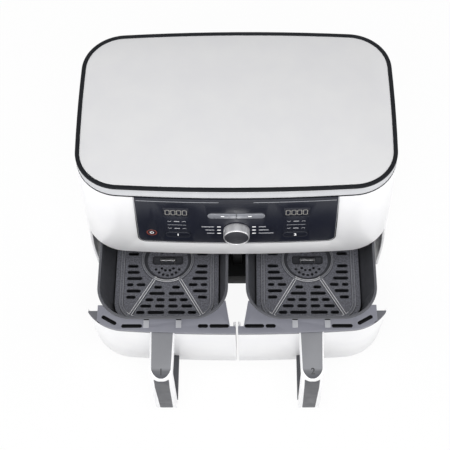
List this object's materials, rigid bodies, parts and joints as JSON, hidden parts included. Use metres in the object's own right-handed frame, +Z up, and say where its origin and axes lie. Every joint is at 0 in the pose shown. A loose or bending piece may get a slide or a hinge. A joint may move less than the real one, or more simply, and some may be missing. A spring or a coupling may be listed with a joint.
{
  "type": "dual-drawer air fryer",
  "caption": "Countertop air fryer with two side-by-side pull-out drawers, crisper plates, looped handles and a front control panel with displays, touch keys and a dial.",
  "frame": {"origin": "middle of the footprint on the table, with the drawers drawn out as stored", "axes": "+Z up, -Y towards the front with the handles, +X to the right seen from the front"},
  "size_m": [0.411, 0.45, 0.322],
  "materials": {
    "white_shell": "satin white moulding",
    "lid_silver": "pale silver-grey",
    "rim_black": "black",
    "bright_trim": "polished",
    "panel_black": "gloss black",
    "lens_black": "smoked, gloss",
    "key_black": "gloss",
    "key_grey": "satin grey",
    "dial_dark": "dark satin",
    "dark_plastic": "matt black",
    "foot_rubber": "matt",
    "ledge_grey": "satin grey",
    "clip_steel": "brushed",
    "inlay_grey": "satin grey",
    "pan_coat": "dark non-stick coating",
    "plate_coat": "dark grey non-stick coating",
    "bumper_silicone": "matt",
    "sheet_steel": "plain sheet",
    "heater_tube": "oxidised tube",
    "fan_metal": "plain",
    "motor_metal": "plain",
    "board_green": "circuit board",
    "encoder_grey": "plain",
    "screw_steel": "plated"
  },
  "bodies": {
    "housing": {"casing": "white_shell", "lid_panel": "lid_silver", "lid_gasket": "rim_black", "chrome_trim": "bright_trim", "control_fascia": "panel_black", "fascia_bezel": "bright_trim", "left_display_lens": "lens_black", "right_display_lens": "lens_black", "base_tray": "dark_plastic", "centre_post": "dark_plastic", "base_plate": "dark_plastic", "rubber_feet": "foot_rubber", "deck_plate": "sheet_steel", "dial_encoder": "encoder_grey", "control_board": "board_green", "power_board": "board_green", "rear_cover": "dark_plastic", "cord_inlet": "dark_plastic", "case_screws": "screw_steel", "left_cavity_liner": "sheet_steel", "left_heater_can": "sheet_steel", "left_heater_coil": "heater_tube", "left_heater_guard": "sheet_steel", "left_fan_motor": "motor_metal", "right_cavity_liner": "sheet_steel", "right_heater_can": "sheet_steel", "right_heater_coil": "heater_tube", "right_heater_guard": "sheet_steel", "right_fan_motor": "motor_metal"},
    "left_drawer": {"left_pan": "pan_coat", "left_drawer_front": "white_shell", "left_ledge_trim": "ledge_grey", "left_ledge_tabs": "clip_steel", "left_handle_shell": "white_shell", "left_handle_inlays": "inlay_grey", "left_handle_grip": "dark_plastic"},
    "left_plate": {"left_crisper_plate": "plate_coat", "left_plate_bar": "clip_steel", "left_plate_bumpers": "bumper_silicone"},
    "left_fan": {"left_convection_fan": "fan_metal", "left_motor_shaft": "fan_metal"},
    "right_drawer": {"right_pan": "pan_coat", "right_drawer_front": "white_shell", "right_ledge_trim": "ledge_grey", "right_ledge_tabs": "clip_steel", "right_handle_shell": "white_shell", "right_handle_inlays": "inlay_grey", "right_handle_grip": "dark_plastic"},
    "right_plate": {"right_crisper_plate": "plate_coat", "right_plate_bar": "clip_steel", "right_plate_bumpers": "bumper_silicone"},
    "right_fan": {"right_convection_fan": "fan_metal", "right_motor_shaft": "fan_metal"},
    "dial": {"dial_ring": "bright_trim"},
    "dial_push": {"dial_button": "dial_dark"},
    "power_key": {"power_key": "key_black"},
    "left_zone_key": {"left_zone_key": "key_black"},
    "right_zone_key": {"right_zone_key": "key_black"},
    "sync_key": {"sync_key": "key_grey"},
    "match_key": {"match_key": "key_grey"}
  },
  "joints": [
    {"name": "left_drawer_slide", "type": "slide", "parent": "housing", "child": "left_drawer", "axis": [0, -1, 0], "range_m": [-0.1182, 0.142]},
    {"name": "left_plate_lift", "type": "slide", "parent": "left_drawer", "child": "left_plate", "axis": [0, 0, 1], "range_m": [0, 0.07]},
    {"name": "left_fan_spin", "type": "hinge", "parent": "housing", "child": "left_fan", "pos_m": [-0.098, 0.09055, 0.2], "axis": [0, 0, 1], "continuous": true},
    {"name": "right_drawer_slide", "type": "slide", "parent": "housing", "child": "right_drawer", "axis": [0, -1, 0], "range_m": [-0.1182, 0.142]},
    {"name": "right_plate_lift", "type": "slide", "parent": "right_drawer", "child": "right_plate", "axis": [0, 0, 1], "range_m": [0, 0.07]},
    {"name": "right_fan_spin", "type": "hinge", "parent": "housing", "child": "right_fan", "pos_m": [0.098, 0.09055, 0.2], "axis": [0, 0, 1], "continuous": true},
    {"name": "dial_turn", "type": "hinge", "parent": "housing", "child": "dial", "pos_m": [0, -0.0545, 0.2396], "axis": [0, -1, 0], "continuous": true},
    {"name": "dial_press", "type": "slide", "parent": "dial", "child": "dial_push", "axis": [0, 1, 0], "range_m": [0, 0.001], "stiffness_N_per_m": 900},
    {"name": "power_key_press", "type": "slide", "parent": "housing", "child": "power_key", "axis": [0.052, 0.9986, 0], "range_m": [0, 0.0008], "stiffness_N_per_m": 900},
    {"name": "left_zone_key_press", "type": "slide", "parent": "housing", "child": "left_zone_key", "axis": [0.0359, 0.9994, 0], "range_m": [0, 0.0008], "stiffness_N_per_m": 900},
    {"name": "right_zone_key_press", "type": "slide", "parent": "housing", "child": "right_zone_key", "axis": [-0.0359, 0.9994, 0], "range_m": [0, 0.0008], "stiffness_N_per_m": 900},
    {"name": "sync_key_press", "type": "slide", "parent": "housing", "child": "sync_key", "axis": [0, 1, 0], "range_m": [0, 0.0008], "stiffness_N_per_m": 900},
    {"name": "match_key_press", "type": "slide", "parent": "housing", "child": "match_key", "axis": [0, 1, 0], "range_m": [0, 0.0008], "stiffness_N_per_m": 900}
  ]
}
